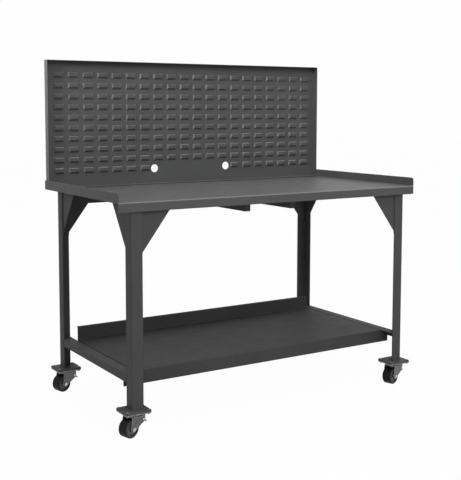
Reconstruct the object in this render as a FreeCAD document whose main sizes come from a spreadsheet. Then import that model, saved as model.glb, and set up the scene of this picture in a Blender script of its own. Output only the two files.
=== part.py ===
import FreeCAD, Part
import math
import os
import Sketcher

# Mobile workbench: a steel bench on four braked swivel casters, with a louvred back panel.
# Millimetres, +X along the bench to the right, +Y to the back, +Z up, the floor at zero.

doc = FreeCAD.newDocument("mobile_workbench")
sheet = doc.addObject("Spreadsheet::Sheet", "sizes")
nodes = []
rowCount = 0
tolerance = 0.02


class Size:
    # A length with its number and the formula that ties it to the size table.
    def __init__(self, value, text):
        self.value = value
        self.text = text

    def join(self, other, sign, swap=False):
        other = as_size(other)
        a, b = (other, self) if swap else (self, other)
        results = {"+": a.value + b.value, "-": a.value - b.value, "*": a.value * b.value}
        value = a.value / b.value if sign == "/" else results[sign]
        return Size(value, "(" + a.text + " " + sign + " " + b.text + ")")

    def __add__(self, other):
        return self.join(other, "+")

    def __radd__(self, other):
        return self.join(other, "+", True)

    def __sub__(self, other):
        return self.join(other, "-")

    def __rsub__(self, other):
        return self.join(other, "-", True)

    def __mul__(self, other):
        return self.join(other, "*")

    def __rmul__(self, other):
        return self.join(other, "*", True)

    def __truediv__(self, other):
        return self.join(other, "/")

    def __neg__(self):
        return self.join(-1, "*")


def as_size(number):
    if isinstance(number, Size):
        return number
    return Size(float(number), "(" + str(number) + ")")


def size(alias, value, note):
    global rowCount
    rowCount += 1
    sheet.set("A" + str(rowCount), note)
    sheet.set("B" + str(rowCount), str(value))
    sheet.setAlias("B" + str(rowCount), alias)
    return Size(float(value), "sizes." + alias)


# Sizes of the bench top
topLength = size("top_length", 1524, "length of the work surface")
topDepth = size("top_depth", 762, "depth of the work surface, front to back")
workHeight = size("work_height", 934, "height of the work surface over the floor")
topSheet = size("top_sheet", 3, "sheet thickness of the top")
frontApron = size("front_apron", 38, "height of the front edge turned down")
endStop = size("end_stop", 38, "height of the end stops over the surface")
stopCorner = size("stop_corner", 13, "rounding of the front corner of an end stop")
topBend = size("top_bend", 4.5, "outer bend radius of the top")

# Sizes of the channels and the rear rail under the top
channelOffset = size("channel_offset", 119, "centre of the bench to centre of a channel")
channelWidth = size("channel_width", 29, "outer width of a channel")
channelDrop = size("channel_drop", 76, "work surface to underside of a channel")
channelSheet = size("channel_sheet", 2.5, "sheet thickness of a channel")
channelSetback = size("channel_setback", 76, "front edge of the top to front end of a channel")
railDrop = size("rail_drop", 76, "work surface to underside of the rear rail")

# Sizes of the legs, gussets and foot plates
legSize = size("leg_size", 50, "flange width of the leg angle")
legSheet = size("leg_sheet", 5, "thickness of the leg angle")
legInsetX = size("leg_inset_x", 56, "end of the top to the outer face of a leg")
legInsetY = size("leg_inset_y", 7.5, "front or rear of the top to the outer face of a leg")
legBend = size("leg_bend", 5, "outer corner radius of the leg angle")
gussetLong = size("gusset_long", 186, "width of a gusset along the bench")
gussetCross = size("gusset_cross", 168, "width of a gusset across the bench")
gussetDrop = size("gusset_drop", 244, "height of a gusset down the leg")
gussetNose = size("gusset_nose", 8, "blunt end of a gusset")
gussetSheet = size("gusset_sheet", 4, "thickness of a gusset")
plateLong = size("plate_long", 114, "caster plate length")
plateWide = size("plate_wide", 102, "caster plate width")
plateCorner = size("plate_corner", 12, "corner radius of foot and caster plates")
footSheet = size("foot_sheet", 6, "thickness of a foot plate")
footShiftX = size("foot_shift_x", 19, "outer face of a leg to plate centre, along the bench")
footShiftY = size("foot_shift_y", 25.5, "outer face of a leg to plate centre, front to back")
boltLong = size("bolt_long", 92, "bolt spacing along the plate")
boltWide = size("bolt_wide", 76, "bolt spacing across the plate")
boltHole = size("bolt_hole", 9, "bolt hole diameter")
boltShank = size("bolt_shank", 8, "bolt diameter")
boltHead = size("bolt_head", 3.5, "height of a bolt head")
boltFlats = size("bolt_flats", 13, "corner diameter of bolt heads and nuts")
nutHeight = size("nut_height", 5, "height of a nut")
boltTail = size("bolt_tail", 1.5, "thread showing under a nut")

# Sizes of the shelf
railTop = size("rail_top", 243, "height of the shelf surface and the rail tops")
railHeight = size("rail_height", 32, "height of a shelf rail")
railFlange = size("rail_flange", 47, "width of the level flange of a rail")
railSheet = size("rail_sheet", 4, "thickness of a rail")
railBend = size("rail_bend", 3.5, "outer corner radius of a rail")
shelfSetback = size("shelf_setback", 93, "front or rear of the top to the shelf edge")
shelfSheet = size("shelf_sheet", 2.5, "sheet thickness of the shelf")
shelfApron = size("shelf_apron", 58, "height of the shelf front")
shelfStop = size("shelf_stop", 60, "height of the shelf back stop")
shelfLip = size("shelf_lip", 12, "lip turned back along the stop")
shelfLap = size("shelf_lap", 32, "shelf end tab under a rail flange")
shelfBend = size("shelf_bend", 4, "outer bend radius of the shelf")
frontGap = size("front_gap", 0.4, "end of the shelf front to the rail web")
seam = size("seam", 6, "open seam between shelf and rail flange")

# Sizes of the louvred panel
panelGap = size("panel_gap", 1.5, "end stop to panel side")
panelHeight = size("panel_height", 578, "panel height over the work surface")
panelFlange = size("panel_flange", 36, "depth of the panel flanges")
panelSheet = size("panel_sheet", 2, "sheet thickness of the panel")
panelSetback = size("panel_setback", 1, "rear of the top to the panel back")
panelBend = size("panel_bend", 3, "outer bend radius of the panel")
louvrePitchX = size("louvre_pitch_x", 73, "louvre spacing along a row")
louvrePitchZ = size("louvre_pitch_z", 48.5, "spacing of the louvre rows")
louvreTop = size("louvre_top", 53, "top of the panel to the first louvre edge")
louvreWidth = size("louvre_width", 50, "width of a louvre")
louvreHeight = size("louvre_height", 26, "height of a louvre")
louvreDepth = size("louvre_depth", 8, "how far a louvre stands out")
louvreEnd = size("louvre_end", 5, "slope of the louvre ends")
louvreFoot = size("louvre_foot", 10, "height of the sloped louvre foot")
louvreCols = size("louvre_cols", 20, "louvres in a full row")
louvreRows = size("louvre_rows", 9, "full rows of louvres")
louvreFew = size("louvre_few", 7, "louvres at either end of the lowest row")
cableHole = size("cable_hole", 38, "diameter of the cable holes")
cableShift = size("cable_shift", 203, "centre of the bench to a cable hole")
cableRise = size("cable_rise", 74, "work surface to a cable hole")

# Sizes of a caster
casterHeight = size("caster_height", 102, "floor to the top of the caster plate")
casterSheet = size("caster_sheet", 4.5, "thickness of the caster plate")
casterTurn = size("caster_turn", 17, "degrees that the casters stand turned about their swivel axes")
trail = size("trail", 28, "swivel axis to axle")
wheelRadius = size("wheel_radius", 38, "radius of a wheel")
wheelWidth = size("wheel_width", 44, "width of a wheel")
treadEdge = size("tread_edge", 4, "chamfer of the tread edges")
coreRadius = size("core_radius", 27, "radius of the wheel core")
coreWidth = size("core_width", 34, "width of the wheel core")
hubRadius = size("hub_radius", 11, "radius of the hub")
hubGap = size("hub_gap", 0.8, "hub end to fork side")
axleRadius = size("axle_radius", 5, "radius of the axle")
runFit = size("run_fit", 0.05, "radial clearance of running fits")
forkGap = size("fork_gap", 50, "width between the fork sides")
forkSheet = size("fork_sheet", 3.5, "thickness of the fork")
forkBend = size("fork_bend", 3, "outer bend radius of the fork")
crownTop = size("crown_top", 87.5, "height of the fork crown")
crownRadius = size("crown_radius", 38, "radius of the fork crown")
forkBack = size("fork_back", 33, "swivel axis to the trailing edge of the fork")
forkNose = size("fork_nose", 36, "swivel axis to the leading edge of the fork")
forkNoseLow = size("fork_nose_low", 61, "height of the lower end of the leading edge")
forkBoss = size("fork_boss", 12, "radius of the fork ends round the axle")
raceRadius = size("race_radius", 35, "outer radius of the swivel race")
raceGap = size("race_gap", 0.4, "race to fork crown")
raceSlope = size("race_slope", 5, "slope of the race side")
kingRadius = size("king_radius", 6.5, "radius of the kingpin")
kingHead = size("king_head", 10, "radius of the kingpin head")
kingHeadHeight = size("king_head_height", 5, "height of the kingpin head")
kingGap = size("king_gap", 0.3, "kingpin head to fork crown")
axleFlats = size("axle_flats", 16, "corner diameter of the axle head and nut")
axleHead = size("axle_head", 5, "height of the axle head and nut")
pedalX = size("pedal_x", 26, "swivel axis to the pedal pin")
pedalZ = size("pedal_z", 68, "height of the pedal pin")
pinRadius = size("pin_radius", 3, "radius of the pedal pin")
pinHead = size("pin_head", 5, "radius of the pedal pin heads")
pinHeadHeight = size("pin_head_height", 2, "height of the pedal pin heads")
barrelRadius = size("barrel_radius", 6, "radius of the pedal barrel")
pedalWidth = size("pedal_width", 46, "width of the pedal")
padX = size("pad_x", -10.5, "pedal pin to the brake pad, along the fork")
padZ = size("pad_z", -17.6, "pedal pin to the brake pad, up")
padRadius = size("pad_radius", 3, "radius of the brake pad")
padWidth = size("pad_width", 34, "width of the brake pad")
tabX = size("tab_x", 23, "pedal pin to the tip of the pedal, along the fork")
tabZ = size("tab_z", -19, "pedal pin to the tip of the pedal, up")
tabSheet = size("tab_sheet", 5, "upright thickness of the pedal tab")
doc.recompute()

# Derived positions
halfLength = topLength / 2
halfDepth = topDepth / 2
underTop = workHeight - topSheet
legFaceX = halfLength - legInsetX
legFaceY = halfDepth - legInsetY
legFoot = casterHeight + footSheet
casterX = legFaceX - footShiftX
casterY = legFaceY - footShiftY
shelfHalf = halfLength - legInsetX - railFlange
panelBack = halfDepth - panelSetback
panelFront = panelBack - panelSheet
panelTop = workHeight + panelHeight
panelHalf = halfLength - topSheet - panelGap


def bind(thing, prop, length):
    thing.setExpression(prop, as_size(length).text)


def new_body(label):
    body = doc.addObject("PartDesign::Body", label)
    body.Label = label
    return body


def origin_part(body, role):
    return [f for f in body.Origin.OriginFeatures if f.Role == role][0]


def new_sketch(body, plane, offset=0, across=0, up=0):
    sketch = body.newObject("Sketcher::SketchObject", body.Label + "_sketch")
    sketch.AttachmentSupport = [(origin_part(body, plane), "")]
    sketch.MapMode = "FlatFace"
    for axis, value in zip("xyz", (across, up, offset)):
        bind(sketch, "AttachmentOffset.Base." + axis, value)
    return sketch


def fix_point(sketch, geometry, end, x, y):
    for kind, value in (("DistanceX", x), ("DistanceY", y)):
        value = as_size(value)
        index = sketch.addConstraint(Sketcher.Constraint(kind, -1, 1, geometry, end, value.value))
        sketch.setExpression("Constraints[" + str(index) + "]", value.text)


def polygon(sketch, points):
    # A closed outline whose corners are each held by two distances from the origin.
    first = sketch.GeometryCount
    spots = [FreeCAD.Vector(as_size(x).value, as_size(y).value, 0) for x, y in points]
    for i in range(len(spots)):
        sketch.addGeometry(Part.LineSegment(spots[i], spots[(i + 1) % len(spots)]), False)
    for i in range(len(spots)):
        follower = first + (i + 1) % len(spots)
        sketch.addConstraint(Sketcher.Constraint("Coincident", first + i, 2, follower, 1))
    for i, (x, y) in enumerate(points):
        fix_point(sketch, first + i, 1, x, y)


def circle(sketch, x, y, radius):
    radius = as_size(radius)
    centre = FreeCAD.Vector(as_size(x).value, as_size(y).value, 0)
    up = FreeCAD.Vector(0, 0, 1)
    index = sketch.addGeometry(Part.Circle(centre, up, radius.value), False)
    fix_point(sketch, index, 3, x, y)
    hold = sketch.addConstraint(Sketcher.Constraint("Radius", index, radius.value))
    sketch.setExpression("Constraints[" + str(hold) + "]", radius.text)


def rectangle(sketch, x0, y0, x1, y1):
    polygon(sketch, [(x0, y0), (x1, y0), (x1, y1), (x0, y1)])


def pad(body, sketch, length, kind="PartDesign::Pad"):
    # Material on both sides of the sketch plane, half the length each way.
    feature = body.newObject(kind, body.Label + "_pad")
    feature.Profile = sketch
    feature.SideType = "Symmetric"
    bind(feature, "Length", length)
    doc.recompute()
    return feature


def pocket(body, sketch, length):
    return pad(body, sketch, length, "PartDesign::Pocket")


def revolve(body, sketch, axis):
    feature = body.newObject("PartDesign::Revolution", body.Label + "_turn")
    feature.Profile = sketch
    feature.ReferenceAxis = (sketch, [axis])
    feature.Angle = 360
    doc.recompute()
    return feature


def dress_edges(body, kind, prop, amount, tests):
    # Works on every edge of the body that passes one of the tests.
    tip = body.Tip
    edges = list(enumerate(tip.Shape.Edges))
    names = ["Edge" + str(i + 1) for i, edge in edges if any(test(edge) for test in tests)]
    feature = body.newObject(kind, body.Label + "_edges")
    feature.Base = (tip, names)
    bind(feature, prop, amount)
    doc.recompute()
    return feature


def round_edges(body, radius, *tests):
    return dress_edges(body, "PartDesign::Fillet", "Radius", radius, tests)


def chamfer_edges(body, width, *tests):
    return dress_edges(body, "PartDesign::Chamfer", "Size", width, tests)


def near(a, b):
    return abs(a - as_size(b).value) < tolerance


def edge_at(**where):
    # A test for straight edges whose two ends both lie at the given coordinates.
    def test(edge):
        if edge.Curve.TypeId != "Part::GeomLine":
            return False
        ends = [vertex.Point for vertex in edge.Vertexes]
        return all(near(getattr(end, axis), value) for end in ends for axis, value in where.items())
    return test


def ring_of(radius):
    return lambda edge: edge.Curve.TypeId == "Part::GeomCircle" and near(edge.Curve.Radius, radius)


def place(thing, x, y, z=0):
    for axis, value in zip("xyz", (x, y, z)):
        bind(thing, "Placement.Base." + axis, value)


def place_swivel(thing, sx, sy):
    # At a caster's swivel axis, turned as the casters stand in rest.
    place(thing, sx * casterX, sy * casterY)
    bind(thing, "Placement.Rotation.Angle", casterTurn)


def keep(thing, label):
    thing.Label = label
    nodes.append(thing)
    return thing


# Bench top: one sheet with the front edge turned down and the ends turned up
def make_worktop():
    body = new_body("worktop")
    profile = new_sketch(body, "YZ_Plane")
    polygon(profile, [
        (-halfDepth, workHeight), (halfDepth, workHeight), (halfDepth, underTop),
        (topSheet - halfDepth, underTop), (topSheet - halfDepth, workHeight - frontApron),
        (-halfDepth, workHeight - frontApron)])
    pad(body, profile, topLength)
    front, back = -halfDepth, halfDepth
    round_edges(body, topBend, edge_at(y=front, z=workHeight))
    round_edges(body, topBend - topSheet, edge_at(y=front + topSheet, z=underTop))
    stopTop = workHeight + endStop
    for side in (-1, 1):
        stop = new_sketch(body, "YZ_Plane", side * (halfLength - topSheet / 2))
        polygon(stop, [
            (front + topBend, underTop), (back, underTop), (back, stopTop), (front, stopTop),
            (front, workHeight), (front + topBend, workHeight)])
        pad(body, stop, topSheet)
    round_edges(body, stopCorner, edge_at(y=front, z=stopTop))
    return keep(body, "worktop")


# Channels under the top, open side up and closed in front, and the rail between the rear legs
def make_channel(label, side):
    body = new_body(label)
    front = channelSetback - halfDepth
    back = legFaceY - legSheet
    low = workHeight - channelDrop
    middle = side * channelOffset
    half = channelWidth / 2
    block = new_sketch(body, "XZ_Plane", -(front + back) / 2)
    rectangle(block, middle - half, low, middle + half, underTop)
    pad(body, block, back - front)
    round_edges(body, channelSheet, edge_at(x=middle - half, z=low), edge_at(x=middle + half, z=low))
    wall = half - channelSheet
    hollow = new_sketch(body, "XZ_Plane", -(front + back) / 2 - channelSheet)
    rectangle(hollow, middle - wall, low + channelSheet, middle + wall, underTop + channelSheet)
    pocket(body, hollow, back - front)
    return keep(body, label)


def make_rear_rail():
    body = new_body("rear_rail")
    bar = new_sketch(body, "XZ_Plane", legSheet / 2 - legFaceY)
    half = legFaceX - legSize
    rectangle(bar, -half, workHeight - railDrop, half, underTop)
    pad(body, bar, legSheet)
    return keep(body, "rear_rail")


# Legs of rolled angle, the corner of the angle outward
def make_leg(label, sx, sy):
    body = new_body(label)
    profile = new_sketch(body, "XY_Plane", (legFoot + underTop) / 2)
    x0 = sx * legFaceX
    y0 = sy * legFaceY
    polygon(profile, [
        (x0, y0), (x0 - sx * legSize, y0), (x0 - sx * legSize, y0 - sy * legSheet),
        (x0 - sx * legSheet, y0 - sy * legSheet), (x0 - sx * legSheet, y0 - sy * legSize),
        (x0, y0 - sy * legSize)])
    pad(body, profile, underTop - legFoot)
    round_edges(body, legBend, edge_at(x=x0, y=y0), edge_at(x=x0 - sx * legSheet, y=y0 - sy * legSheet))
    return keep(body, label)


# Gussets inside the leg angles: one along the bench and one front to back at each leg
def make_gusset(label, sx, sy, lengthwise):
    body = new_body(label)
    inX = legFaceX - legSheet
    inY = legFaceY - legSheet
    high = underTop
    if lengthwise:
        profile = new_sketch(body, "XZ_Plane", -sy * (inY - gussetSheet / 2))
        start = inX - legBend
        side = sx
        reach = gussetLong
    else:
        profile = new_sketch(body, "YZ_Plane", sx * (inX - gussetSheet / 2))
        start = inY - legBend
        side = sy
        reach = gussetCross
    polygon(profile, [
        (side * start, high), (side * (start - reach), high), (side * (start - reach), high - gussetNose),
        (side * (start - gussetNose), high - gussetDrop), (side * start, high - gussetDrop)])
    pad(body, profile, gussetSheet)
    return keep(body, label)


# Foot plates under the legs and the plate outline shared with the casters
def plate_with_holes(body, low, thick):
    outline = new_sketch(body, "XY_Plane", low + thick / 2)
    rectangle(outline, -plateLong / 2, -plateWide / 2, plateLong / 2, plateWide / 2)
    pad(body, outline, thick)
    tests = [edge_at(x=sx * plateLong / 2, y=sy * plateWide / 2) for sx in (-1, 1) for sy in (-1, 1)]
    round_edges(body, plateCorner, *tests)
    holes = new_sketch(body, "XY_Plane", low + thick / 2)
    for sx in (-1, 1):
        for sy in (-1, 1):
            circle(holes, sx * boltLong / 2, sy * boltWide / 2, boltHole / 2)
    pocket(body, holes, thick * 2)


def make_foot(label, sx, sy):
    body = new_body(label)
    plate_with_holes(body, casterHeight, footSheet)
    place(body, sx * casterX, sy * casterY)
    return keep(body, label)


# Shelf: front turned down and run on to the rails, back turned up into a stop, end tabs under the rails
def make_shelf():
    body = new_body("shelf")
    front = shelfSetback - halfDepth
    back = halfDepth - shelfSetback
    t = shelfSheet
    stopTop = railTop + shelfStop
    profile = new_sketch(body, "YZ_Plane")
    polygon(profile, [
        (front, railTop - shelfApron), (front, railTop), (back - t, railTop), (back - t, stopTop),
        (back + shelfLip, stopTop), (back + shelfLip, stopTop - t), (back, stopTop - t),
        (back, railTop - t), (front + t, railTop - t), (front + t, railTop - shelfApron)])
    half = shelfHalf - seam
    pad(body, profile, half * 2)
    round_edges(body, shelfBend, edge_at(y=front, z=railTop), edge_at(y=back, z=railTop - t))
    round_edges(body, shelfBend - t, edge_at(y=front + t, z=railTop - t), edge_at(y=back - t, z=railTop))
    tabTop = railTop - railSheet
    tabFront = front + shelfBend
    tabBack = back - shelfBend
    for side in (-1, 1):
        tab = new_sketch(body, "XZ_Plane", -(tabFront + tabBack) / 2)
        outer = side * (half + shelfLap)
        polygon(tab, [
            (side * half, railTop), (side * half, tabTop), (outer, tabTop), (outer, tabTop - t),
            (side * (half - t), tabTop - t), (side * (half - t), railTop)])
        pad(body, tab, tabBack - tabFront)
        reach = new_sketch(body, "XZ_Plane", -(front + t / 2))
        web = side * (legFaceX - railSheet - frontGap)
        rectangle(reach, side * half, railTop - shelfApron, web, tabTop)
        pad(body, reach, t)
    return keep(body, "shelf")


# Shelf rails: angles from leg to leg, coped to sit inside the leg angles
def make_rail(label, side):
    body = new_body(label)
    between = legFaceY - legSize
    inside = legFaceY - legSheet - legBend
    outer = side * legFaceX
    inner = side * (legFaceX - railFlange)
    cope = side * (legFaceX - legSheet - legBend)
    flange = new_sketch(body, "XY_Plane", railTop - railSheet / 2)
    polygon(flange, [
        (inner, -inside), (cope, -inside), (cope, -between), (outer, -between),
        (outer, between), (cope, between), (cope, inside), (inner, inside)])
    pad(body, flange, railSheet)
    web = new_sketch(body, "YZ_Plane", outer - side * railSheet / 2)
    rectangle(web, -between, railTop - railHeight, between, railTop)
    pad(body, web, railSheet)
    round_edges(body, railBend, edge_at(x=outer, z=railTop))
    return keep(body, label)


# Louvred panel: a pan with its edges turned forward, rows of louvres open at the top
def louvre(body, kind, x, bottom, shrink):
    wedge = body.newObject(kind, "louvre")
    half = louvreWidth / 2 - shrink
    low = bottom + shrink
    high = bottom + louvreHeight
    face = panelFront - louvreDepth + shrink
    root = panelFront + shrink
    values = {
        "Ymin": face, "Ymax": root, "Xmin": x - half + louvreEnd, "Xmax": x + half - louvreEnd,
        "X2min": x - half, "X2max": x + half, "Zmin": low + louvreFoot, "Zmax": high,
        "Z2min": low, "Z2max": high}
    for prop, value in values.items():
        setattr(wedge, prop, as_size(value).value)
        bind(wedge, prop, value)
    wedge.Refine = False
    doc.recompute()
    return wedge


def louvre_grid(body, kind, shrink, bottom, columns, rows):
    # Louvres from the end of the panel inward, in rows from the top row down.
    first = -louvrePitchX * (louvreCols - 1) / 2
    wedge = louvre(body, kind, first, bottom, shrink)
    grid = body.newObject("PartDesign::LinearPattern", "louvre_grid")
    grid.Originals = [wedge]
    grid.Refine = False
    grid.Direction = (origin_part(body, "X_Axis"), [""])
    grid.Mode = "Spacing"
    bind(grid, "Offset", louvrePitchX)
    bind(grid, "Occurrences", columns)
    grid.Direction2 = (origin_part(body, "Z_Axis"), [""])
    grid.Reversed2 = True
    grid.Mode2 = "Spacing"
    bind(grid, "Offset2", louvrePitchZ)
    bind(grid, "Occurrences2", rows)
    # A spacing of -1 follows the pattern's own offset.
    grid.Spacings2 = [-1.0] * (round(as_size(rows).value) - 1)
    body.Tip = grid
    doc.recompute()


def make_panel():
    # The left half is modelled, then mirrored on the middle of the bench.
    body = new_body("louvre_panel")
    t = panelSheet
    mouth = panelBack - panelFlange
    block = new_sketch(body, "XZ_Plane", -(panelBack + mouth) / 2)
    rectangle(block, -panelHalf, workHeight, 0, panelTop)
    pad(body, block, panelFlange)
    round_edges(body, panelBend, edge_at(y=panelBack, z=workHeight), edge_at(y=panelBack, z=panelTop),
                edge_at(x=-panelHalf, y=panelBack))
    hollow = new_sketch(body, "XZ_Plane", -(mouth + panelFront - panelFlange) / 2)
    rectangle(hollow, t - panelHalf, workHeight + t, panelHalf, panelTop - t)
    pocket(body, hollow, panelFront - mouth + panelFlange)
    hole = new_sketch(body, "XZ_Plane", -panelBack)
    circle(hole, -cableShift, workHeight + cableRise, cableHole / 2)
    pocket(body, hole, panelFlange)
    topRow = panelTop - louvreTop - louvreHeight
    lowRow = topRow - louvreRows * louvrePitchZ
    for kind, shrink in (("PartDesign::AdditiveWedge", as_size(0)), ("PartDesign::SubtractiveWedge", t)):
        louvre_grid(body, kind, shrink, topRow, louvreCols / 2, louvreRows)
        louvre_grid(body, kind, shrink, lowRow, louvreFew, 1)
    whole = body.newObject("PartDesign::Mirrored", "louvre_mirror")
    whole.TransformMode = "Whole shape"
    whole.MirrorPlane = (origin_part(body, "YZ_Plane"), [""])
    body.Tip = whole
    doc.recompute()
    return keep(body, "louvre_panel")


# Small turned and forged pieces, made of simple solids
def cylinder(radius, height, x, y, z):
    solid = doc.addObject("Part::Cylinder", "cylinder")
    bind(solid, "Radius", radius)
    bind(solid, "Height", height)
    place(solid, x, y, z)
    return solid


def hexagon(across, height, x, y, z):
    solid = doc.addObject("Part::Prism", "hexagon")
    solid.Polygon = 6
    bind(solid, "Circumradius", across / 2)
    bind(solid, "Height", height)
    place(solid, x, y, z)
    return solid


def lay_along_y(solid):
    solid.Placement.Rotation = FreeCAD.Rotation(FreeCAD.Vector(1, 0, 0), -90)
    return solid


def fuse(label, solids):
    union = doc.addObject("Part::MultiFuse", label)
    union.Shapes = solids
    union.Refine = True
    return union


# Caster plate with the upper swivel race pressed out of it
def make_plate(label, sx, sy):
    body = new_body(label)
    low = casterHeight - casterSheet
    plate_with_holes(body, low, casterSheet)
    race = new_sketch(body, "XZ_Plane")
    foot = crownTop + raceGap
    polygon(race, [(0, foot), (raceRadius, foot), (raceRadius, foot + raceSlope),
                   (raceRadius - raceSlope, low), (0, low)])
    revolve(body, race, "V_Axis")
    bore = new_sketch(body, "XY_Plane", low)
    circle(bore, 0, 0, kingRadius)
    pocket(body, bore, (casterHeight - foot) * 2)
    place(body, sx * casterX, sy * casterY)
    return keep(body, label)


# Kingpin riveted flush into the plate, with its head under the fork crown
def make_kingpin(label, sx, sy):
    headTop = crownTop - forkSheet - kingGap
    pin = cylinder(kingRadius, casterHeight - headTop, 0, 0, headTop)
    head = cylinder(kingHead, kingHeadHeight, 0, 0, headTop - kingHeadHeight)
    whole = fuse(label, [pin, head])
    place(whole, sx * casterX, sy * casterY)
    return keep(whole, label)


# Fork: a round crown and two sides that taper down to the axle
def tangent_angle(x, y, radius, point, turn):
    # Direction from a circle's centre to where a line from the point touches the circle.
    dx = point[0].value - x.value
    dy = point[1].value - y.value
    return math.atan2(dy, dx) + turn * math.acos(radius.value / math.hypot(dx, dy))


def fork_side(sketch, top):
    # Straight edges that run tangent into the round end at the axle.
    corners = [(-forkBack, top), (forkNose, top), (forkNose, forkNoseLow)]
    x, y = -trail, wheelRadius
    angles = [tangent_angle(x, y, forkBoss, corners[0], 1), tangent_angle(x, y, forkBoss, corners[2], -1)]
    centre = FreeCAD.Vector(x.value, y.value, 0)
    touch = [centre + FreeCAD.Vector(math.cos(a), math.sin(a), 0) * forkBoss.value for a in angles]
    spots = [FreeCAD.Vector(u.value, v.value, 0) for u, v in corners]
    ring = Part.Circle(centre, FreeCAD.Vector(0, 0, 1), forkBoss.value)
    for start, end in zip(spots + touch[:1], spots[1:] + [touch[1], spots[0]]):
        sketch.addGeometry(Part.LineSegment(start, end), False)
    arc = sketch.addGeometry(Part.ArcOfCircle(ring, angles[0], angles[1] + 2 * math.pi), False)
    for first, second in ((0, 1), (1, 2), (3, 0)):
        sketch.addConstraint(Sketcher.Constraint("Coincident", first, 2, second, 1))
    sketch.addConstraint(Sketcher.Constraint("Tangent", 2, 2, arc, 2))
    sketch.addConstraint(Sketcher.Constraint("Tangent", 3, 1, arc, 1))
    for line, (u, v) in enumerate(corners):
        fix_point(sketch, line, 1, u, v)
    fix_point(sketch, arc, 3, x, y)
    hold = sketch.addConstraint(Sketcher.Constraint("Radius", arc, forkBoss.value))
    sketch.setExpression("Constraints[" + str(hold) + "]", forkBoss.text)


def make_fork(label, sx, sy):
    body = new_body(label)
    crownLow = crownTop - forkSheet
    half = forkGap / 2 + forkSheet
    crown = new_sketch(body, "XY_Plane", crownTop - forkSheet / 2)
    circle(crown, 0, 0, crownRadius)
    pad(body, crown, forkSheet)
    web = new_sketch(body, "XY_Plane", crownTop - forkSheet / 2)
    rectangle(web, -forkBack, -half, forkNose, half)
    pad(body, web, forkSheet)
    for side in (-1, 1):
        plane = -side * (half - forkSheet / 2)
        outline = new_sketch(body, "XZ_Plane", plane)
        fork_side(outline, crownLow)
        pad(body, outline, forkSheet)
    bores = new_sketch(body, "XZ_Plane")
    circle(bores, -trail, wheelRadius, axleRadius)
    circle(bores, pedalX, pedalZ, pinRadius)
    pocket(body, bores, half * 3)
    bore = new_sketch(body, "XY_Plane", crownTop - forkSheet / 2)
    circle(bore, 0, 0, kingRadius + runFit)
    pocket(body, bore, forkSheet * 2)
    round_edges(body, forkBend, edge_at(y=-half, z=crownTop), edge_at(y=half, z=crownTop))
    place_swivel(body, sx, sy)
    return keep(body, label)


# Axle bolt with its head at the front and nut at the back
def make_axle(label, sx, sy):
    half = forkGap / 2 + forkSheet
    reach = half * 2 + axleHead * 2 + boltTail
    shank = lay_along_y(cylinder(axleRadius, reach, -trail, -half - axleHead, wheelRadius))
    head = lay_along_y(hexagon(axleFlats, axleHead, -trail, -half - axleHead, wheelRadius))
    nut = lay_along_y(hexagon(axleFlats, axleHead, -trail, half, wheelRadius))
    whole = fuse(label, [shank, head, nut])
    place_swivel(whole, sx, sy)
    return keep(whole, label)


# Wheel: a tyre on a core set back in it, with a hub that runs on the axle
def make_tyre(label, sx, sy):
    body = new_body(label)
    profile = new_sketch(body, "XY_Plane", wheelRadius, -trail)
    half = wheelWidth / 2
    rectangle(profile, coreRadius, -half, wheelRadius, half)
    revolve(body, profile, "V_Axis")
    chamfer_edges(body, treadEdge, ring_of(wheelRadius))
    place_swivel(body, sx, sy)
    return keep(body, label)


def make_core(label, sx, sy):
    body = new_body(label)
    profile = new_sketch(body, "XY_Plane", wheelRadius, -trail)
    half = coreWidth / 2
    hub = forkGap / 2 - hubGap
    bore = axleRadius + runFit
    polygon(profile, [
        (bore, -hub), (hubRadius, -hub), (hubRadius, -half), (coreRadius, -half),
        (coreRadius, half), (hubRadius, half), (hubRadius, hub), (bore, hub)])
    revolve(body, profile, "V_Axis")
    place_swivel(body, sx, sy)
    return keep(body, label)


# Brake pedal: barrel on its pin, a foot tab in front and a pad toward the tread
def make_pedal(label, sx, sy):
    body = new_body(label)
    barrel = new_sketch(body, "XZ_Plane", 0, pedalX, pedalZ)
    circle(barrel, 0, 0, barrelRadius)
    pad(body, barrel, pedalWidth)
    tab = new_sketch(body, "XZ_Plane", 0, pedalX, pedalZ)
    polygon(tab, [(0, barrelRadius), (tabX, tabZ + tabSheet), (tabX, tabZ), (0, barrelRadius - tabSheet)])
    pad(body, tab, pedalWidth)
    arm = new_sketch(body, "XZ_Plane", 0, pedalX, pedalZ)
    polygon(arm, [(-barrelRadius, 0), (0, -barrelRadius), (padX + padRadius, padZ), (padX - padRadius, padZ)])
    pad(body, arm, padWidth)
    shoe = new_sketch(body, "XZ_Plane", 0, pedalX, pedalZ)
    circle(shoe, padX, padZ, padRadius)
    pad(body, shoe, padWidth)
    bore = new_sketch(body, "XZ_Plane", 0, pedalX, pedalZ)
    circle(bore, 0, 0, pinRadius + runFit)
    pocket(body, bore, pedalWidth * 2)
    place_swivel(body, sx, sy)
    return keep(body, label)


def make_pedal_pin(label, sx, sy):
    half = forkGap / 2 + forkSheet
    reach = half + pinHeadHeight
    shank = lay_along_y(cylinder(pinRadius, reach * 2, pedalX, -reach, pedalZ))
    front = lay_along_y(cylinder(pinHead, pinHeadHeight, pedalX, -reach, pedalZ))
    rear = lay_along_y(cylinder(pinHead, pinHeadHeight, pedalX, half, pedalZ))
    whole = fuse(label, [shank, front, rear])
    place_swivel(whole, sx, sy)
    return keep(whole, label)


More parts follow.
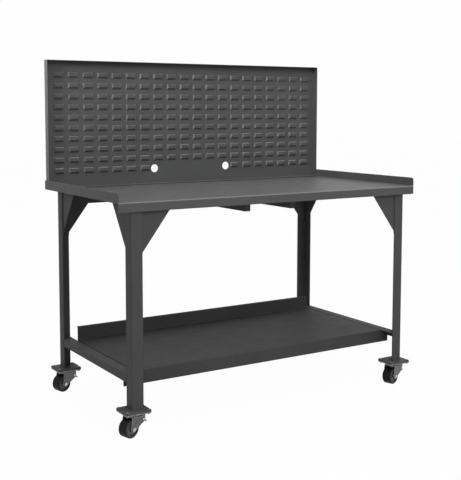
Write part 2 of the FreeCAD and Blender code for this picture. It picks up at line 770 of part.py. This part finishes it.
# Bolts that hold the casters to the foot plates
def make_foot_bolts():
    bolts = []
    under = casterHeight - casterSheet
    tail = under - nutHeight - boltTail
    columns = [cx * casterX + sx * boltLong / 2 for cx in (-1, 1) for sx in (-1, 1)]
    rows = [cy * casterY + sy * boltWide / 2 for cy in (-1, 1) for sy in (-1, 1)]
    for x in columns:
        for y in rows:
            head = hexagon(boltFlats, boltHead, x, y, legFoot)
            shank = cylinder(boltShank / 2, legFoot - tail, x, y, tail)
            nut = hexagon(boltFlats, nutHeight, x, y, under - nutHeight)
            bolts.append(fuse("foot_bolt", [head, shank, nut]))
    group = doc.addObject("Part::Compound", "foot_bolts")
    group.Links = bolts
    return keep(group, "foot_bolts")


make_worktop()
for word, side in (("left", -1), ("right", 1)):
    make_channel("channel_" + word, side)
    make_rail("shelf_rail_" + word, side)
make_rear_rail()
make_shelf()
make_panel()
corners = (("front_left", -1, -1), ("front_right", 1, -1), ("rear_left", -1, 1), ("rear_right", 1, 1))
for word, sx, sy in corners:
    make_leg("leg_" + word, sx, sy)
    make_gusset("gusset_long_" + word, sx, sy, True)
    make_gusset("gusset_cross_" + word, sx, sy, False)
    make_foot("foot_plate_" + word, sx, sy)
    make_plate("caster_plate_" + word, sx, sy)
    make_kingpin("kingpin_" + word, sx, sy)
    make_fork("fork_" + word, sx, sy)
    make_axle("axle_" + word, sx, sy)
    make_tyre("tyre_" + word, sx, sy)
    make_core("wheel_core_" + word, sx, sy)
    make_pedal("brake_pedal_" + word, sx, sy)
    make_pedal_pin("pedal_pin_" + word, sx, sy)
make_foot_bolts()
doc.recompute()

# Every piece is checked, then written
for thing in doc.Objects:
    if "Invalid" in thing.State or "Error" in thing.State:
        raise RuntimeError(thing.Name + " did not build: " + str(thing.State))
for thing in nodes:
    if thing.Shape.isNull() or not thing.Shape.isValid():
        raise RuntimeError(thing.Label + " has no valid shape")
os.makedirs("parts", exist_ok=True)
for thing in nodes:
    thing.Shape.exportStep("parts/" + thing.Label + ".step")
print(len(nodes), "pieces written")
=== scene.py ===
import math
import bpy
from mathutils import Matrix, Vector


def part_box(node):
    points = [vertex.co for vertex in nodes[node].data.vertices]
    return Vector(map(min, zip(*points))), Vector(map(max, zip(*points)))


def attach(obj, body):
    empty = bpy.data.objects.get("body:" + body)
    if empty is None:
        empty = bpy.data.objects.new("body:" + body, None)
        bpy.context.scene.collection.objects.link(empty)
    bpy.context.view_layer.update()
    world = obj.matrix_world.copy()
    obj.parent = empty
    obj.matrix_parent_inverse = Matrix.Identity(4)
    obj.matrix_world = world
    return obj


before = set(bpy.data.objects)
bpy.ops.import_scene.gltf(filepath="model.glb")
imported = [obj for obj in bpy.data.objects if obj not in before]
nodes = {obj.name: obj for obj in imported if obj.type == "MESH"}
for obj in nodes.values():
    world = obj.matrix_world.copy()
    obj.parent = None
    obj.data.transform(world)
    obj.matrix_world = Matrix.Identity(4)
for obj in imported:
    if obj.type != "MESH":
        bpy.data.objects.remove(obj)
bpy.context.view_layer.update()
corners = ("front_left", "front_right", "rear_left", "rear_right")
print("frame loaded:", len(nodes), "nodes")


class Wire:
    # a shader socket; operators on it add Math nodes
    def __init__(self, tree, socket=None):
        self.tree = tree
        self.socket = socket

    def add(self, kind, settings=None, links=None, out=0):
        # any node: its settings, the values or links of its inputs, and the output to go on with
        node = self.tree.nodes.new(kind)
        for key, value in (settings or {}).items():
            setattr(node, key, value)
        for key, value in (links or {}).items():
            if isinstance(value, Wire):
                self.tree.links.new(value.socket, node.inputs[key])
            else:
                node.inputs[key].default_value = value
        return Wire(self.tree, node.outputs[out] if node.outputs else None)

    def math(self, operation, *values):
        return self.add("ShaderNodeMath", {"operation": operation}, dict(enumerate(values)))

    def __add__(self, other):
        return self.math("ADD", self, other)

    def __radd__(self, other):
        return self.math("ADD", other, self)

    def __sub__(self, other):
        return self.math("SUBTRACT", self, other)

    def __rsub__(self, other):
        return self.math("SUBTRACT", other, self)

    def __mul__(self, other):
        return self.math("MULTIPLY", self, other)

    def __rmul__(self, other):
        return self.math("MULTIPLY", other, self)

    def between(self, low, high):
        # 0 below low, 1 above high
        return self.add("ShaderNodeMapRange", {"interpolation_type": "SMOOTHSTEP"},
                        {"Value": self, "From Min": low, "From Max": high})

    def past(self, level, span):
        # between two values that are given from a level
        return self.between(level + span[0], level + span[1])

    def blend(self, first, second):
        # first colour where this is 0, second where it is 1; sockets 6, 7 and 2 are the node's colours
        return self.add("ShaderNodeMix", {"data_type": "RGBA"}, {0: self, 6: first, 7: second}, out=2)

    def axis(self, letter):
        # X, Y or Z of a vector
        return self.add("ShaderNodeSeparateXYZ", None, {"Vector": self}, out=letter)


bevelSamples = 4


def newFinish(name):
    finish = bpy.data.materials.new(name)
    finish.use_nodes = True
    wire = Wire(finish.node_tree)
    place = wire.add("ShaderNodeTexCoord", out="Object")
    return finish, wire, place


def setSurface(finish, values):
    shader = finish.node_tree.nodes["Principled BSDF"]
    for key, value in values.items():
        if isinstance(value, Wire):
            finish.node_tree.links.new(value.socket, shader.inputs[key])
        else:
            shader.inputs[key].default_value = value


def noiseAt(wire, place, scale, detail=2.0, stretch=(1, 1, 1), span=None):
    spot = wire.add("ShaderNodeMapping", None, {"Vector": place, "Scale": stretch})
    noise = wire.add("ShaderNodeTexNoise", None, {"Vector": spot, "Scale": scale, "Detail": detail})
    return noise.between(*span) if span else noise


def softNormal(wire, radius):
    return wire.add("ShaderNodeBevel", {"samples": bevelSamples}, {"Radius": radius})


def bumpFrom(wire, height, strength, depth, normal=None):
    links = {"Strength": strength, "Distance": depth, "Height": height}
    if normal:
        links["Normal"] = normal
    return wire.add("ShaderNodeBump", None, links)


def grey(level, warm=0.0):
    return (level * (1 + warm), level, level * (1 - warm), 1)


# panel: painted highlights make its outer sides and louvre ends paler than its face, and a painted shadow lies as a
# dark seam under its lower flange
panelPaintedLight = {"sides": (-0.0006, -0.0002), "rim": (-0.006, -0.004), "turn": (0.25, 0.45), "louvreShare": 0.75,
              "shadowHeight": (0.0022, 0.0028), "shadowDepth": (0.004, 0.008), "shadowShare": 0.9, "shadowTone": 0.006}


def paintPanelLight(wire, place, facing, colour, pale, share):
    low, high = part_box("louvre_panel")
    across = wire.math("ABSOLUTE", place.axis("X"))
    turned = wire.math("ABSOLUTE", facing.axis("X"))
    # painted highlight: the outer sides and the sideways-facing louvre ends are paler, as if lit from the side
    outside = across.past(high.x, panelPaintedLight["sides"])
    inside = 1 - across.past(high.x, panelPaintedLight["rim"])
    endHighlight = outside + inside * turned.between(*panelPaintedLight["turn"]) * panelPaintedLight["louvreShare"]
    colour = (endHighlight * share).blend(colour, pale)
    # painted shadow: a dark line along the front of the lower flange, where it sits on the top
    seamShadow = 1 - place.axis("Z").past(low.z, panelPaintedLight["shadowHeight"])
    seamShadow = seamShadow * (1 - place.axis("Y").past(low.y, panelPaintedLight["shadowDepth"]))
    return (seamShadow * panelPaintedLight["shadowShare"]).blend(colour, grey(panelPaintedLight["shadowTone"]))


# top: a painted highlight makes the bend along its front paler; surface is the height of the work surface
topBendHighlight = {"surface": 0.934, "below": (-0.006, -0.002), "above": (0.001, 0.003), "behind": (0.003, 0.007), "shine": 2.2}


def paintBendHighlight(place, colour, light, share):
    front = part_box("worktop")[0].y
    height = place.axis("Z")
    band = height.past(topBendHighlight["surface"], topBendHighlight["below"])
    band = band * (1 - height.past(topBendHighlight["surface"], topBendHighlight["above"]))
    band = band * (1 - place.axis("Y").past(front, topBendHighlight["behind"]))
    return (band * share).blend(colour, grey(light * topBendHighlight["shine"]))


# powder coat: faint clouds and specks, scuffs, painted highlights along upper edges and orange peel
powderCoat = {
    "cloud": {"scale": 5.5, "detail": 4, "span": (0.35, 0.68)},
    "speck": {"scale": 2600, "detail": 1, "span": (0.62, 0.74)},
    "rub": {"scale": 14, "detail": 5, "stretch": (1, 1.7, 1), "span": (0.4, 0.75)},
    "peel": {"scale": 950, "detail": 1.5},
    "warm": -0.012, "speckShare": 0.22, "speckShine": 1.7, "specular": 0.10,
    "rubRough": 0.07, "cloudRough": 0.04, "roughDrop": 0.05,
    "highlightLean": (0.05, 0.40), "edge": 0.0014, "peelStrength": 0.35, "peelDepth": 0.00016,
}
scuffMarks = {
    "along": {"scale": 26, "detail": 3, "stretch": (0.25, 9, 1), "span": (0.66, 0.72)},
    "cross": {"scale": 22, "detail": 3, "stretch": (8, 0.3, 1), "span": (0.68, 0.73)},
    "shine": 1.5, "rough": 0.05,
}
# the four coats are one grey powder coat: the shelf's darker tone is painted shade under the top, and the paler tones
# of the panel and top are painted light
frameFinish = {"tone": 0.051, "light": 0.057, "roughness": 0.60, "upperEdgeHighlight": 0.30}
panelFinish = {"tone": 0.059, "light": 0.065, "roughness": 0.56, "upperEdgeHighlight": 0.85, "reach": 0.0048, "shine": 2.5,
               "endHighlight": 0.75}
topFinish = {"tone": 0.064, "light": 0.071, "roughness": 0.52, "upperEdgeHighlight": 0.45, "scuffs": 0.10, "bendHighlight": 0.6}
shelfFinish = {"tone": 0.040, "light": 0.045, "roughness": 0.62, "upperEdgeHighlight": 0.35, "scuffs": 0.07}


def makePowderCoat(name, tone, light, roughness, upperEdgeHighlight, reach=0.004, shine=3.0, scuffs=0, endHighlight=0, bendHighlight=0):
    finish, wire, place = newFinish(name)
    cloud = noiseAt(wire, place, **powderCoat["cloud"])
    speck = noiseAt(wire, place, **powderCoat["speck"])
    rub = noiseAt(wire, place, **powderCoat["rub"])
    colour = cloud.blend(grey(tone, powderCoat["warm"]), grey(light, powderCoat["warm"]))
    colour = (speck * powderCoat["speckShare"]).blend(colour, grey(light * powderCoat["speckShine"]))
    coarse = rub * powderCoat["rubRough"] + cloud * powderCoat["cloudRough"]
    if scuffs:
        along = noiseAt(wire, place, **scuffMarks["along"])
        cross = noiseAt(wire, place, **scuffMarks["cross"])
        marks = wire.math("MAXIMUM", along, cross)
        colour = (marks * scuffs).blend(colour, grey(light * scuffMarks["shine"]))
        coarse = coarse + marks * scuffMarks["rough"]
    # painted highlight: upper edges are lighter where the softened normal leans up more than the face does
    facing = wire.add("ShaderNodeNewGeometry", out="Normal")
    lean = wire.add("ShaderNodeVectorMath", {"operation": "SUBTRACT"}, {0: softNormal(wire, reach), 1: facing})
    edgeHighlight = lean.axis("Z").between(*powderCoat["highlightLean"])
    pale = grey(light * shine)
    colour = (edgeHighlight * upperEdgeHighlight).blend(colour, pale)
    # painted highlights on the panel's sides and louvre ends, and its painted seam shadow
    if endHighlight:
        colour = paintPanelLight(wire, place, facing, colour, pale, endHighlight)
    # painted highlight along the top's front bend
    if bendHighlight:
        colour = paintBendHighlight(place, colour, light, bendHighlight)
    peel = noiseAt(wire, place, **powderCoat["peel"])
    normal = bumpFrom(wire, peel, powderCoat["peelStrength"], powderCoat["peelDepth"],
                      softNormal(wire, powderCoat["edge"]))
    setSurface(finish, {"Base Color": colour, "Roughness": coarse + (roughness - powderCoat["roughDrop"]),
                        "Normal": normal, "Specular IOR Level": powderCoat["specular"]})
    return finish


# forks, plates, pedals and bolts: dark plated steel with painted highlights along the edges
casterSteel = {
    "cloud": {"scale": 60, "detail": 4, "span": (0.36, 0.66)},
    "grain": {"scale": 1700},
    "tone": 0.085, "light": 0.15, "roughness": 0.36, "cloudRough": 0.12, "metal": 0.6,
    "edgeHighlight": 0.8, "bright": 0.62, "highlightReach": 0.002, "highlightLean": (0.15, 0.55),
    "edge": 0.0008, "grainStrength": 0.25, "grainDepth": 0.0001,
}


def makeCasterSteel():
    finish, wire, place = newFinish("casterSteel")
    cloud = noiseAt(wire, place, **casterSteel["cloud"])
    grain = noiseAt(wire, place, **casterSteel["grain"])
    colour = cloud.blend(grey(casterSteel["tone"]), grey(casterSteel["light"]))
    # painted highlight: edges are lighter where the softened normal differs from the face
    facing = wire.add("ShaderNodeNewGeometry", out="Normal")
    lean = wire.add("ShaderNodeVectorMath", {"operation": "DISTANCE"},
                    {0: softNormal(wire, casterSteel["highlightReach"]), 1: facing}, out="Value")
    edgeHighlight = lean.between(*casterSteel["highlightLean"])
    colour = (edgeHighlight * casterSteel["edgeHighlight"]).blend(colour, grey(casterSteel["bright"]))
    normal = bumpFrom(wire, grain, casterSteel["grainStrength"], casterSteel["grainDepth"],
                      softNormal(wire, casterSteel["edge"]))
    setSurface(finish, {"Base Color": colour, "Metallic": casterSteel["metal"], "Normal": normal,
                        "Roughness": cloud * casterSteel["cloudRough"] + casterSteel["roughness"]})
    return finish


# kingpins, axles and pedal pins: bright zinc
zincPlate = {
    "cloud": {"scale": 90, "detail": 3, "span": (0.35, 0.7)},
    "turned": {"scale": 900, "stretch": (1, 1, 6)},
    "tone": (0.42, 0.42, 0.41, 1), "light": (0.62, 0.62, 0.60, 1), "metal": 1.0,
    "roughness": 0.30, "cloudRough": 0.15, "turnedStrength": 0.2, "turnedDepth": 0.00008,
}


def makeZincPlate():
    finish, wire, place = newFinish("zincPlate")
    cloud = noiseAt(wire, place, **zincPlate["cloud"])
    turned = noiseAt(wire, place, **zincPlate["turned"])
    colour = cloud.blend(zincPlate["tone"], zincPlate["light"])
    normal = bumpFrom(wire, turned, zincPlate["turnedStrength"], zincPlate["turnedDepth"])
    setSurface(finish, {"Base Color": colour, "Metallic": zincPlate["metal"], "Normal": normal,
                        "Roughness": cloud * zincPlate["cloudRough"] + zincPlate["roughness"]})
    return finish


# tyres: black round the wheel with fine ridges, grey on the two sides; turn is the casters' turn at rest
treadRubber = {
    "scuff": {"scale": 120, "detail": 4, "span": (0.4, 0.7)},
    "grain": {"scale": 2200},
    "tone": 0.011, "light": 0.020, "warm": 0.03, "side": 0.055, "sideRim": (-0.0005, -0.0002),
    "roughness": 0.34, "scuffRough": 0.2, "specular": 0.06, "width": 0.044, "turn": 17.0,
    "ridge": 0.0022, "ridgeShare": 0.4, "bumpStrength": 0.4, "bumpDepth": 0.00012,
}


def makeTreadRubber(corner):
    finish, wire, place = newFinish("treadRubber_" + corner)
    low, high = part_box("tyre_" + corner)
    middle = (low + high) / 2
    # across runs along the turned axle from the wheel's middle
    centred = wire.add("ShaderNodeVectorMath", {"operation": "SUBTRACT"}, {0: place, 1: middle})
    back = (0, 0, -math.radians(treadRubber["turn"]))
    across = wire.add("ShaderNodeMapping", None, {"Vector": centred, "Rotation": back}).axis("Y")
    side = wire.math("ABSOLUTE", across).past(treadRubber["width"] / 2, treadRubber["sideRim"])
    ridge = wire.math("SINE", across * (2 * math.pi / treadRubber["ridge"]))
    scuff = noiseAt(wire, place, **treadRubber["scuff"])
    grain = noiseAt(wire, place, **treadRubber["grain"])
    colour = scuff.blend(grey(treadRubber["tone"]), grey(treadRubber["light"], treadRubber["warm"]))
    colour = side.blend(colour, grey(treadRubber["side"]))
    normal = bumpFrom(wire, grain + ridge * treadRubber["ridgeShare"], treadRubber["bumpStrength"],
                      treadRubber["bumpDepth"])
    setSurface(finish, {"Base Color": colour, "Normal": normal, "Specular IOR Level": treadRubber["specular"],
                        "Roughness": scuff * treadRubber["scuffRough"] + treadRubber["roughness"]})
    return finish


# wheel cores: dark moulded plastic
corePlastic = {
    "flow": {"scale": 75, "detail": 3, "span": (0.35, 0.7)},
    "grain": {"scale": 1900},
    "tone": 0.050, "light": 0.075, "roughness": 0.40, "flowRough": 0.12,
    "grainStrength": 0.25, "grainDepth": 0.0001,
}


def makeCorePlastic():
    finish, wire, place = newFinish("corePlastic")
    flow = noiseAt(wire, place, **corePlastic["flow"])
    grain = noiseAt(wire, place, **corePlastic["grain"])
    colour = flow.blend(grey(corePlastic["tone"]), grey(corePlastic["light"]))
    normal = bumpFrom(wire, grain, corePlastic["grainStrength"], corePlastic["grainDepth"])
    setSurface(finish, {"Base Color": colour, "Normal": normal,
                        "Roughness": flow * corePlastic["flowRough"] + corePlastic["roughness"]})
    return finish


coat = makePowderCoat("powderCoatFrame", **frameFinish)
panelCoat = makePowderCoat("powderCoatPanel", **panelFinish)
topCoat = makePowderCoat("powderCoatTop", **topFinish)
shelfCoat = makePowderCoat("powderCoatShelf", **shelfFinish)
steel = makeCasterSteel()
zinc = makeZincPlate()
core = makeCorePlastic()
treads = {corner: makeTreadRubber(corner) for corner in corners}
finishes = {"worktop": topCoat, "louvre_panel": panelCoat, "shelf": shelfCoat, "foot_bolts": steel,
            "caster_plate": steel, "fork": steel, "brake_pedal": steel, "wheel_core": core,
            "kingpin": zinc, "axle": zinc, "pedal_pin": zinc}


def finishFor(name):
    for corner in corners:
        if name == "tyre_" + corner:
            return treads[corner]
        name = name.removesuffix("_" + corner)
    return finishes.get(name, coat)


for name, node in nodes.items():
    finish = finishFor(name)
    if node.data.materials:
        for slot in node.material_slots:
            slot.material = finish
    else:
        node.data.materials.append(finish)
print("finishes set")


# welds: short rippled beads where gussets, rails and foot plates meet the legs
weldBead = {"ripple": 0.0019, "width": 0.0042, "flat": 0.62, "small": 0.88, "large": 1.12, "seed": 7,
            "segments": 10, "rings": 6, "radius": 0.5}
weldRun = {"stitch": 0.032, "stitchAt": (0.12, 0.62), "footOuter": 0.008, "footInner": 0.004,
           "railBottom": 0.002, "railTop": 0.005}


def weldLines():
    lines = []
    for corner in corners:
        legLow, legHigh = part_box("leg_" + corner)
        right = legLow.x > 0
        rear = legLow.y > 0
        inX, outX = (legLow.x, legHigh.x) if right else (legHigh.x, legLow.x)
        inY, outY = (legLow.y, legHigh.y) if rear else (legHigh.y, legLow.y)
        sx = 1 if right else -1
        sy = 1 if rear else -1
        foot = legLow.z
        lines.append(((outX - sx * weldRun["footOuter"], outY, foot), (inX + sx * weldRun["footInner"], outY, foot)))
        lines.append(((outX, outY - sy * weldRun["footOuter"], foot), (outX, inY + sy * weldRun["footInner"], foot)))
        longLow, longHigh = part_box("gusset_long_" + corner)
        crossLow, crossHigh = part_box("gusset_cross_" + corner)
        face = longHigh.y if rear else longLow.y
        side = crossHigh.x if right else crossLow.x
        for share in weldRun["stitchAt"]:
            z = longLow.z + share * (longHigh.z - longLow.z)
            lines.append(((inX, face, z), (inX, face, z + weldRun["stitch"])))
            lines.append(((side, inY, z), (side, inY, z + weldRun["stitch"])))
    for word in ("left", "right"):
        low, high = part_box("shelf_rail_" + word)
        outX = low.x if word == "left" else high.x
        for corner in ("front_" + word, "rear_" + word):
            legLow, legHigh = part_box("leg_" + corner)
            y = legHigh.y if "front" in corner else legLow.y
            lines.append(((outX, y, low.z + weldRun["railBottom"]), (outX, y, high.z - weldRun["railTop"])))
    return lines


def buildBeadTree(finish):
    tree = bpy.data.node_groups.new("weldBead", "GeometryNodeTree")
    face = tree.interface
    face.new_socket("Geometry", in_out="INPUT", socket_type="NodeSocketGeometry")
    sizes = {}
    for label in ("Ripple", "Width"):
        sizes[label] = face.new_socket(label, in_out="INPUT", socket_type="NodeSocketFloat").identifier
    face.new_socket("Geometry", in_out="OUTPUT", socket_type="NodeSocketGeometry")

    def add(kind, settings=None, **values):
        node = tree.nodes.new(kind)
        for key, value in (settings or {}).items():
            setattr(node, key, value)
        for key, value in values.items():
            if isinstance(value, bpy.types.NodeSocket):
                tree.links.new(value, node.inputs[key])
            else:
                node.inputs[key].default_value = value
        return node

    entry = tree.nodes.new("NodeGroupInput")
    leave = tree.nodes.new("NodeGroupOutput")
    path = add("GeometryNodeMeshToCurve", Mesh=entry.outputs["Geometry"])
    steps = add("GeometryNodeResampleCurve", {"mode": "LENGTH"}, Curve=path.outputs[0],
                Length=entry.outputs["Ripple"])
    points = add("GeometryNodeCurveToPoints", {"mode": "EVALUATED"}, Curve=steps.outputs[0])
    ripple = add("GeometryNodeMeshUVSphere", Segments=weldBead["segments"], Rings=weldBead["rings"],
                 Radius=weldBead["radius"])
    wobble = add("FunctionNodeRandomValue", {"data_type": "FLOAT"}, Min=weldBead["small"], Max=weldBead["large"],
                 Seed=weldBead["seed"])
    flat = add("ShaderNodeCombineXYZ", X=1.0, Y=1.0, Z=weldBead["flat"])
    width = add("ShaderNodeVectorMath", {"operation": "SCALE"}, Vector=flat.outputs[0],
                Scale=entry.outputs["Width"])
    randomOut = [socket for socket in wobble.outputs if socket.enabled][0]
    sized = add("ShaderNodeVectorMath", {"operation": "SCALE"}, Vector=width.outputs[0], Scale=randomOut)
    beads = add("GeometryNodeInstanceOnPoints", Points=points.outputs["Points"], Instance=ripple.outputs["Mesh"],
                Rotation=points.outputs["Rotation"], Scale=sized.outputs[0])
    real = add("GeometryNodeRealizeInstances", Geometry=beads.outputs[0])
    dressed = add("GeometryNodeSetMaterial", Geometry=real.outputs[0], Material=finish)
    tree.links.new(dressed.outputs[0], leave.inputs[0])
    return tree, sizes


def makeWelds(finish):
    points = []
    edges = []
    for start, end in weldLines():
        edges.append((len(points), len(points) + 1))
        points += [start, end]
    mesh = bpy.data.meshes.new("weldLines")
    mesh.from_pydata(points, edges, [])
    piece = bpy.data.objects.new("weld_beads", mesh)
    bpy.context.scene.collection.objects.link(piece)
    tree, sizes = buildBeadTree(finish)
    modifier = piece.modifiers.new("beads", "NODES")
    modifier.node_group = tree
    modifier[sizes["Ripple"]] = weldBead["ripple"]
    modifier[sizes["Width"]] = weldBead["width"]
    view = bpy.context.evaluated_depsgraph_get()
    plain = bpy.data.meshes.new_from_object(piece.evaluated_get(view))
    piece.modifiers.clear()
    piece.data = plain
    for polygon in plain.polygons:
        polygon.use_smooth = True
    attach(piece, "frame")
    print("welds:", len(plain.polygons), "faces")


makeWelds(coat)


# studio: floor and world look white to camera and glossy rays, and light the part less than that
studio = {"floor": 0.42, "glow": 0.98, "white": 0.991, "horizon": 0.38, "zenith": 0.95, "skyTop": 0.9, "size": 60.0}


def whiteRays(wire):
    path = wire.tree.nodes.new("ShaderNodeLightPath")
    seen = [Wire(wire.tree, path.outputs[label]) for label in
            ("Is Camera Ray", "Is Glossy Ray", "Is Transmission Ray")]
    return wire.math("MINIMUM", seen[0] + seen[1] + seen[2], 1.0)


def makeFloor():
    finish = bpy.data.materials.new("paleFloor")
    finish.use_nodes = True
    finish.node_tree.nodes.clear()
    wire = Wire(finish.node_tree)
    matte = wire.add("ShaderNodeBsdfDiffuse", None, {"Color": grey(studio["floor"])})
    glow = wire.add("ShaderNodeEmission", None, {"Color": grey(1.0), "Strength": 1.0})
    mixed = wire.add("ShaderNodeMixShader", None, {0: whiteRays(wire) * studio["glow"], 1: matte, 2: glow})
    wire.add("ShaderNodeOutputMaterial", None, {"Surface": mixed})
    half = studio["size"] / 2
    mesh = bpy.data.meshes.new("floor")
    mesh.from_pydata([(-half, -half, 0), (half, -half, 0), (half, half, 0), (-half, half, 0)], [], [(0, 1, 2, 3)])
    mesh.materials.append(finish)
    floor = bpy.data.objects.new("floor", mesh)
    bpy.context.scene.collection.objects.link(floor)


def makeWorld():
    world = bpy.data.worlds.new("studioWorld")
    world.use_nodes = True
    world.node_tree.nodes.clear()
    wire = Wire(world.node_tree)
    height = wire.add("ShaderNodeTexCoord", out="Generated").axis("Z")
    sky = height.between(0.0, studio["skyTop"]) * (studio["zenith"] - studio["horizon"]) + studio["horizon"]
    strength = sky + whiteRays(wire) * (studio["white"] - sky)
    light = wire.add("ShaderNodeBackground", None, {"Color": grey(1.0), "Strength": strength})
    wire.add("ShaderNodeOutputWorld", None, {"Surface": light})
    bpy.context.scene.world = world


# lamps: square panels, power in watts and spread in degrees
lamps = {
    "key": {"place": (-0.3, -3.6, 3.9), "aim": (0.0, 0.0, 1.1), "size": 2.4, "power": 104, "spread": 180},
    "side": {"place": (-3.8, -0.9, 2.5), "aim": (0.0, 0.33, 1.6), "size": 0.8, "power": 5, "spread": 30},
    "fill": {"place": (3.6, -2.6, 2.8), "aim": (0.2, 0.0, 0.8), "size": 2.6, "power": 10, "spread": 180},
    "front": {"place": (-0.8, -3.9, 0.8), "aim": (0.0, 0.0, 0.40), "size": 1.6, "power": 2, "spread": 50},
    "top": {"place": (0.2, -0.3, 4.8), "aim": (0.0, 0.0, 0.9), "size": 3.0, "power": 120, "spread": 180},
}


def makeLamps():
    for name, lamp in lamps.items():
        light = bpy.data.lights.new(name, "AREA")
        light.size = lamp["size"]
        light.energy = lamp["power"]
        light.spread = math.radians(lamp["spread"])
        holder = bpy.data.objects.new(name, light)
        holder.location = lamp["place"]
        aim = Vector(lamp["aim"]) - Vector(lamp["place"])
        holder.rotation_euler = aim.to_track_quat("-Z", "Y").to_euler()
        bpy.context.scene.collection.objects.link(holder)


# camera fitted to the edges in the photo; angles in degrees, lens and sensor in millimetres
cameraFit = {"lens": 67.834, "sensor": 36.0, "yaw": 31.089, "pitch": -5.098, "roll": -0.065,
             "place": (-2.2487, -3.4867, 1.2866), "shift": (0.0531, -0.1021), "far": 100}


def makeCamera():
    data = bpy.data.cameras.new("camera")
    data.lens = cameraFit["lens"]
    data.sensor_width = cameraFit["sensor"]
    data.shift_x, data.shift_y = cameraFit["shift"]
    data.clip_end = cameraFit["far"]
    camera = bpy.data.objects.new("camera", data)
    turn = Matrix.Rotation(math.radians(-cameraFit["yaw"]), 4, "Z")
    tilt = Matrix.Rotation(math.radians(90 + cameraFit["pitch"]), 4, "X")
    roll = Matrix.Rotation(math.radians(cameraFit["roll"]), 4, "Z")
    camera.matrix_world = Matrix.Translation(cameraFit["place"]) @ turn @ tilt @ roll
    bpy.context.scene.collection.objects.link(camera)
    bpy.context.scene.camera = camera


makeFloor()
makeWorld()
makeLamps()
makeCamera()
bpy.context.scene.view_settings.view_transform = "Standard"
print("studio set")
